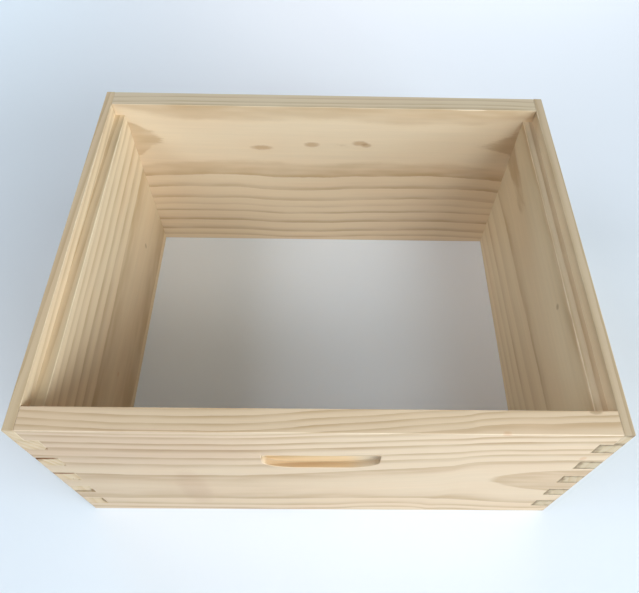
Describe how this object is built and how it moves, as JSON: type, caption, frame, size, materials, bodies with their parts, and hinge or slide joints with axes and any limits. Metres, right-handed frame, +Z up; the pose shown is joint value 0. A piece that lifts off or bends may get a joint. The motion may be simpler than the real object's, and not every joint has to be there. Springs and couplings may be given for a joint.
{
  "type": "beehive box",
  "caption": "Full-depth open-ended beehive box of pine boards with glued box joints, frame rests along both end boards and routed hand holds.",
  "frame": {"origin": "centre of the footprint, on the bottom rim", "axes": "+X along the long front and rear boards, +Y from the front board towards the rear board, +Z up towards the rim with the frame rests"},
  "size_m": [0.508, 0.41, 0.2442],
  "materials": {
    "pine_front": "matte",
    "pine_rear": "matte",
    "pine_left": "matte",
    "pine_right": "matte"
  },
  "bodies": {
    "root": {"front_board": "pine_front", "rear_board": "pine_rear", "left_end_board": "pine_left", "right_end_board": "pine_right"}
  },
  "joints": []
}
